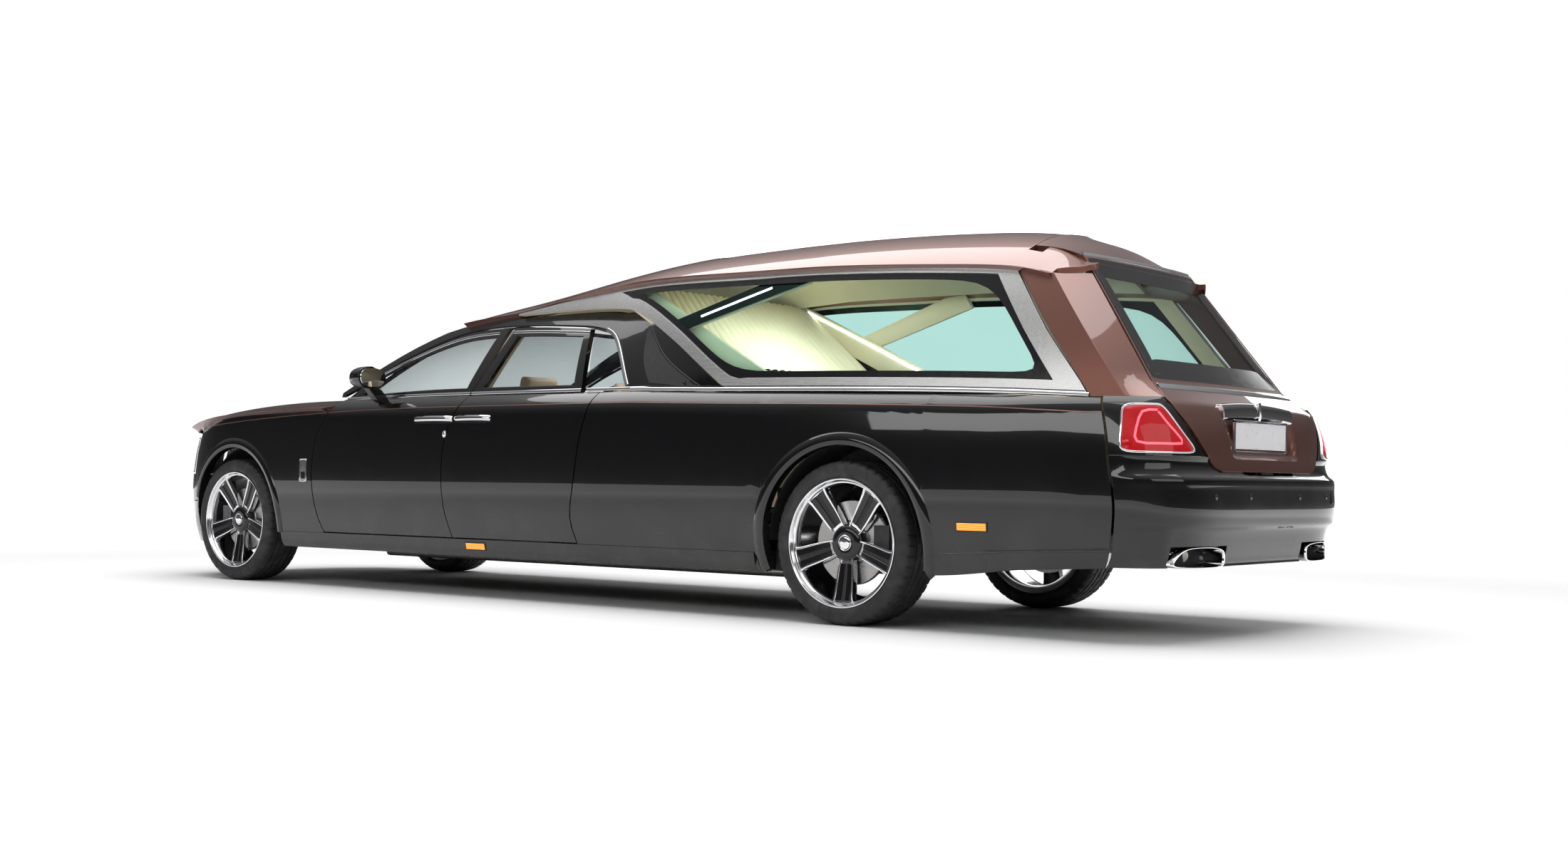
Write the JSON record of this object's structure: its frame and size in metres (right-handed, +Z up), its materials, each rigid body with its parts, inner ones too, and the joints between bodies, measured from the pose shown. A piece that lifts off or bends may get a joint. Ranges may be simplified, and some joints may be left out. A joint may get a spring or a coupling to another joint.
{
  "type": "hearse",
  "caption": "Long hearse with a glazed load bay, coach style cab doors, a top-hinged tailgate and steering road wheels.",
  "frame": {"origin": "on the ground under the middle of the vehicle's length, on its centre plane", "axes": "+X towards the nose, +Y to the vehicle's left, +Z up"},
  "size_m": [6.9505, 2.228, 1.8055],
  "materials": {
    "gloss_black": "gloss",
    "copper_paint": "metallic gloss",
    "black_plastic": "matte",
    "brushed_steel": "brushed",
    "bright_chrome": "polished",
    "clear_glass": "clear",
    "tinted_glass": "tinted",
    "lamp_red": "gloss",
    "lamp_clear": "clear",
    "lamp_amber": "gloss",
    "chassis_metal": "satin",
    "cast_metal": "cast",
    "exhaust_steel": "satin",
    "wheel_alloy": "polished",
    "tyre_rubber": "matte",
    "cream_fabric": "woven",
    "beige_leather": "satin",
    "deck_blue": "satin"
  },
  "bodies": {
    "body": {"floor_pan": "chassis_metal", "arch_liners": "black_plastic", "sills": "gloss_black", "front_subframe": "cast_metal", "rear_subframe": "cast_metal", "engine_block": "cast_metal", "exhaust_system": "exhaust_steel", "front_bumper": "gloss_black", "grille": "bright_chrome", "headlamps": "lamp_clear", "front_wings": "gloss_black", "windscreen": "clear_glass", "cab_frame": "gloss_black", "roof": "copper_paint", "side_panels": "gloss_black", "window_surrounds": "brushed_steel", "side_windows": "clear_glass", "tail_corners": "copper_paint", "rear_bumper": "gloss_black", "tail_lamps": "lamp_red", "marker_lamps": "lamp_amber", "dashboard": "black_plastic", "seats": "beige_leather", "partition": "cream_fabric", "coffin_deck": "deck_blue", "bay_lining": "cream_fabric"},
    "bonnet": {"bonnet": "copper_paint"},
    "tailgate": {"tailgate": "copper_paint", "tailgate_glass": "tinted_glass"},
    "steering_wheel": {"steering_wheel": "black_plastic"},
    "front_door_left": {"front_door_left": "gloss_black", "front_door_glass_left": "clear_glass", "mirror_left": "gloss_black"},
    "rear_door_left": {"rear_door_left": "gloss_black", "rear_door_glass_left": "tinted_glass"},
    "knuckle_left": {"knuckle_left": "cast_metal"},
    "wheel_front_left": {"rim_front_left": "wheel_alloy", "tyre_front_left": "tyre_rubber"},
    "wheel_rear_left": {"rim_rear_left": "wheel_alloy", "tyre_rear_left": "tyre_rubber"},
    "front_door_right": {"front_door_right": "gloss_black", "front_door_glass_right": "clear_glass", "mirror_right": "gloss_black"},
    "rear_door_right": {"rear_door_right": "gloss_black", "rear_door_glass_right": "tinted_glass"},
    "knuckle_right": {"knuckle_right": "cast_metal"},
    "wheel_front_right": {"rim_front_right": "wheel_alloy", "tyre_front_right": "tyre_rubber"},
    "wheel_rear_right": {"rim_rear_right": "wheel_alloy", "tyre_rear_right": "tyre_rubber"}
  },
  "joints": [
    {"name": "steer_left", "type": "hinge", "parent": "body", "child": "knuckle_left", "pos_m": [2.595, 0.75, 0.362], "axis": [0, 0, 1], "range_deg": [-35, 35]},
    {"name": "roll_front_left", "type": "hinge", "parent": "knuckle_left", "child": "wheel_front_left", "pos_m": [2.595, 0.81, 0.362], "axis": [0, 1, 0], "continuous": true},
    {"name": "roll_rear_left", "type": "hinge", "parent": "body", "child": "wheel_rear_left", "pos_m": [-1.905, 0.83, 0.362], "axis": [0, 1, 0], "continuous": true},
    {"name": "open_front_door_left", "type": "hinge", "parent": "body", "child": "front_door_left", "pos_m": [1.805, 0.9731, 0.6], "axis": [0, 0.0698, -0.9976], "range_deg": [0, 68]},
    {"name": "open_rear_door_left", "type": "hinge", "parent": "body", "child": "rear_door_left", "pos_m": [-0.315, 0.98, 0.6], "axis": [0, -0.0698, 0.9976], "range_deg": [0, 80]},
    {"name": "steer_right", "type": "hinge", "parent": "body", "child": "knuckle_right", "pos_m": [2.595, -0.75, 0.362], "axis": [0, 0, 1], "range_deg": [-35, 35]},
    {"name": "roll_front_right", "type": "hinge", "parent": "knuckle_right", "child": "wheel_front_right", "pos_m": [2.595, -0.81, 0.362], "axis": [0, 1, 0], "continuous": true},
    {"name": "roll_rear_right", "type": "hinge", "parent": "body", "child": "wheel_rear_right", "pos_m": [-1.905, -0.83, 0.362], "axis": [0, 1, 0], "continuous": true},
    {"name": "open_front_door_right", "type": "hinge", "parent": "body", "child": "front_door_right", "pos_m": [1.805, -0.9731, 0.6], "axis": [0, 0.0698, 0.9976], "range_deg": [0, 68]},
    {"name": "open_rear_door_right", "type": "hinge", "parent": "body", "child": "rear_door_right", "pos_m": [-0.315, -0.98, 0.6], "axis": [0, -0.0698, -0.9976], "range_deg": [0, 80]},
    {"name": "open_bonnet", "type": "hinge", "parent": "body", "child": "bonnet", "pos_m": [1.727, 0, 1.012], "axis": [0, -1, 0], "range_deg": [0, 52]},
    {"name": "open_tailgate", "type": "hinge", "parent": "body", "child": "tailgate", "pos_m": [-2.608, 0, 1.749], "axis": [0, 1, 0], "range_deg": [0, 78]},
    {"name": "turn_steering_wheel", "type": "hinge", "parent": "body", "child": "steering_wheel", "pos_m": [1.345, 0.37, 0.87], "axis": [-0.9063, 0, 0.4226], "range_deg": [-525, 525]}
  ],
  "couplings": [
    {"joint": "steer_right", "follows": "steer_left", "ratio": 1},
    {"joint": "turn_steering_wheel", "follows": "steer_left", "ratio": 15}
  ]
}
